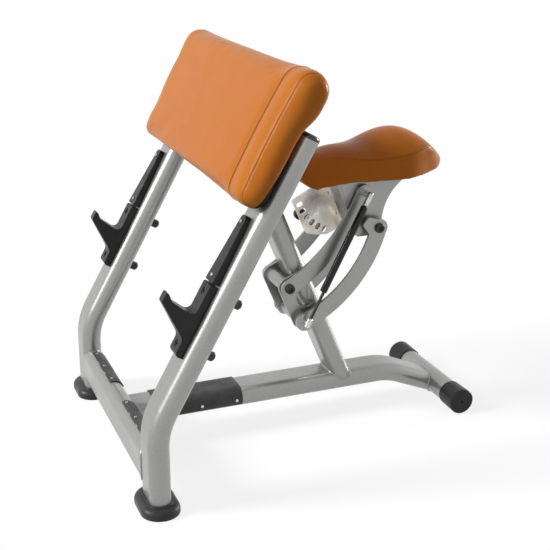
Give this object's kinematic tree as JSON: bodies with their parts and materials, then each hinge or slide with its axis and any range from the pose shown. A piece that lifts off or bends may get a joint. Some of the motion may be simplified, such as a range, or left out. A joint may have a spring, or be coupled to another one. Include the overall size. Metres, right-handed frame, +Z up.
{
  "type": "preacher curl bench",
  "caption": "Free-standing preacher curl bench with a sloping arm pad, bar rest hooks and a saddle seat on a parallel-arm lift with a gas spring and pull pin.",
  "frame": {"origin": "centre of the bounding box on the floor, under the bench", "axes": "+Z up; X across the bench, with +X on the lifter's left, the side of the gas spring; +Y from the uprights back to the rear tube"},
  "size_m": [0.79, 0.951, 0.9602],
  "materials": {
    "powder_coat": "satin metallic silver powder coat",
    "foot_rubber": "moulded matt rubber",
    "cap_plastic": "smooth moulded plastic",
    "tread_rubber": "fine textured rubber",
    "hook_plastic": "dense moulded plastic, lightly textured",
    "bright_steel": "zinc plated and turned",
    "black_steel": "black oxide and black lacquer",
    "plated_steel": "bright plated sheet",
    "knob_plastic": "moulded knob",
    "upholstery": "tan grained leatherette over foam",
    "board": "plywood, black backed"
  },
  "bodies": {
    "frame": {"upright_left": "powder_coat", "upright_right": "powder_coat", "front_crossbeam": "powder_coat", "pad_crossbar": "powder_coat", "spine_beam": "powder_coat", "rear_cross_tube": "powder_coat", "seat_post": "powder_coat", "link_bracket_left": "powder_coat", "link_bracket_right": "powder_coat", "fixed_sleeves": "powder_coat", "fixed_spacers": "powder_coat", "foot_left": "foot_rubber", "foot_right": "foot_rubber", "rear_cap_left": "foot_rubber", "rear_cap_right": "foot_rubber", "upright_cap_left": "cap_plastic", "upright_cap_right": "cap_plastic", "foot_grip_left": "tread_rubber", "foot_grip_right": "tread_rubber", "spine_tread": "tread_rubber", "bar_hook_left": "hook_plastic", "bar_hook_right": "hook_plastic", "guard_strip_left": "hook_plastic", "guard_strip_right": "hook_plastic", "trim_screws": "bright_steel", "fixed_shafts": "bright_steel", "lower_gas_stud": "bright_steel", "hook_bolts": "black_steel", "hook_nuts": "black_steel", "pad_bolts": "black_steel", "fixed_pivot_heads": "black_steel", "arm_pad": "upholstery", "pad_board": "board"},
    "upper_arms": {"upper_arm_left": "powder_coat", "upper_arm_right": "powder_coat", "pin_housing": "black_steel", "pin_spring": "bright_steel"},
    "lower_arms": {"lower_arm_left": "powder_coat", "lower_arm_right": "powder_coat"},
    "seat_carriage": {"carriage_plate_left": "powder_coat", "carriage_plate_right": "powder_coat", "carriage_web": "powder_coat", "seat_plate": "powder_coat", "carriage_sleeves": "powder_coat", "carriage_shafts": "bright_steel", "carriage_spacers": "powder_coat", "carriage_pivot_heads": "black_steel", "upper_gas_stud": "bright_steel", "selector_plate": "plated_steel", "selector_bolts": "black_steel", "seat_board": "board", "seat_cushion": "upholstery", "seat_bolts": "black_steel"},
    "gas_tube": {"gas_cylinder": "black_steel", "gas_cylinder_fitting": "bright_steel"},
    "gas_piston": {"gas_rod": "black_steel", "gas_rod_fitting": "bright_steel"},
    "pin": {"pull_pin": "bright_steel", "pull_knob": "knob_plastic"}
  },
  "joints": [
    {"name": "seat_lift", "type": "hinge", "parent": "frame", "child": "upper_arms", "pos_m": [0, -0.00531, 0.37301], "axis": [1, 0, 0], "range_deg": [-26.82, 17.88]},
    {"name": "lower_arm_pivot", "type": "hinge", "parent": "frame", "child": "lower_arms", "pos_m": [0, 0.03267, 0.28267], "axis": [1, 0, 0], "range_deg": [-27.82, 18.88]},
    {"name": "carriage_pivot", "type": "hinge", "parent": "upper_arms", "child": "seat_carriage", "pos_m": [0, 0.19348, 0.5977], "axis": [1, 0, 0], "range_deg": [-18.88, 27.82]},
    {"name": "gas_tube_pivot", "type": "hinge", "parent": "seat_carriage", "child": "gas_tube", "pos_m": [0.095, 0.19348, 0.5977], "axis": [1, 0, 0], "range_deg": [-23.42, 15.95]},
    {"name": "gas_rod_pivot", "type": "hinge", "parent": "frame", "child": "gas_piston", "pos_m": [0.095, 0.03267, 0.28267], "axis": [1, 0, 0], "range_deg": [-23.42, 15.95]},
    {"name": "pin_slide", "type": "slide", "parent": "upper_arms", "child": "pin", "axis": [1, 0, 0], "range_m": [0, 0.012]}
  ],
  "couplings": [
    {"joint": "lower_arm_pivot", "follows": "seat_lift", "ratio": 1},
    {"joint": "carriage_pivot", "follows": "seat_lift", "ratio": -1},
    {"joint": "gas_tube_pivot", "follows": "seat_lift", "ratio": 0.836},
    {"joint": "gas_rod_pivot", "follows": "seat_lift", "ratio": 0.836}
  ]
}
